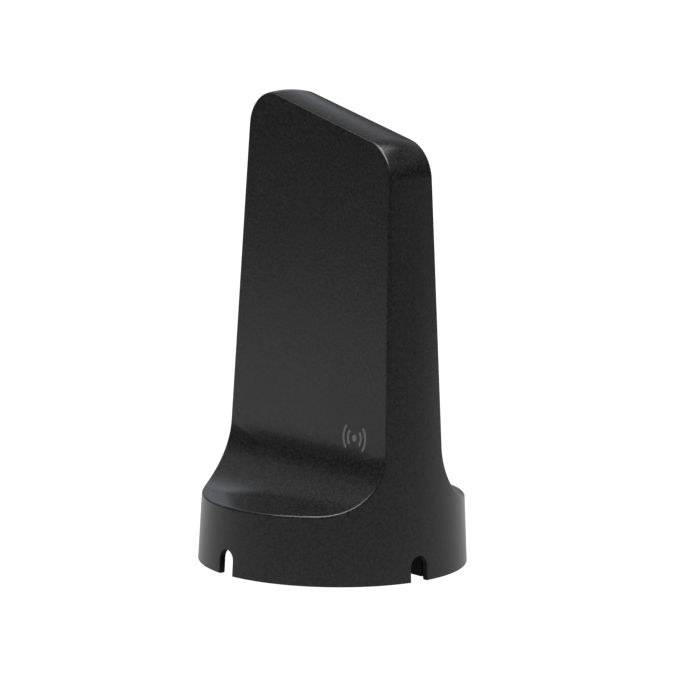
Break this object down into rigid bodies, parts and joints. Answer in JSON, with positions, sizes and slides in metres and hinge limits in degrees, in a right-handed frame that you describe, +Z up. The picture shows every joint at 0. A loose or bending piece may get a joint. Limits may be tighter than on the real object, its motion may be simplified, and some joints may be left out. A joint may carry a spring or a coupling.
{
  "type": "cellular signal booster desktop antenna",
  "caption": "Free-standing indoor antenna: a flat tapered tower with a sloped top rising from a round weighted base, with a coaxial jack in a well underneath.",
  "frame": {"origin": "on the table, on the axis of the round base", "axes": "+Z up along the tower, X along the width of the tower with the top sloping down towards +X, Y through its thickness"},
  "size_m": [0.0878, 0.0878, 0.1525],
  "materials": {
    "shell_plastic": "finely textured matte black moulding",
    "cover_plastic": "finely textured matte black moulding",
    "zinc_steel": "bright zinc plate",
    "foot_rubber": "matte rubber",
    "ballast_iron": "turned grey iron",
    "board_laminate": "glass-epoxy laminate under solder mask",
    "copper_foil": "bare copper foil",
    "bracket_plastic": "natural nylon",
    "foam": "open-cell foam",
    "cable_jacket": "smooth fluoropolymer jacket",
    "solder": "bright solder",
    "ferrite": "ground ferrite",
    "white_insulator": "white fluoropolymer",
    "gold_plated_brass": "gold-plated brass",
    "print_ink": "grey pad print"
  },
  "bodies": {
    "root": {"housing": "shell_plastic", "bottom_cover": "cover_plastic", "cover_screws": "zinc_steel", "rubber_feet": "foot_rubber", "ballast_weight": "ballast_iron", "ballast_screws": "zinc_steel", "antenna_board": "board_laminate", "upper_radiator": "copper_foil", "lower_radiator": "copper_foil", "board_bracket": "bracket_plastic", "bracket_screws": "zinc_steel", "board_screws": "zinc_steel", "foam_pads": "foam", "pigtail_cable": "cable_jacket", "feed_conductor": "gold_plated_brass", "solder_joints": "solder", "cable_clips": "bracket_plastic", "ferrite_beads": "ferrite", "crimp_ferrule": "gold_plated_brass", "jack_body": "gold_plated_brass", "jack_insulator": "white_insulator", "jack_contact": "gold_plated_brass", "jack_nut": "gold_plated_brass", "jack_lock_washer": "zinc_steel", "face_mark": "print_ink"}
  },
  "joints": []
}
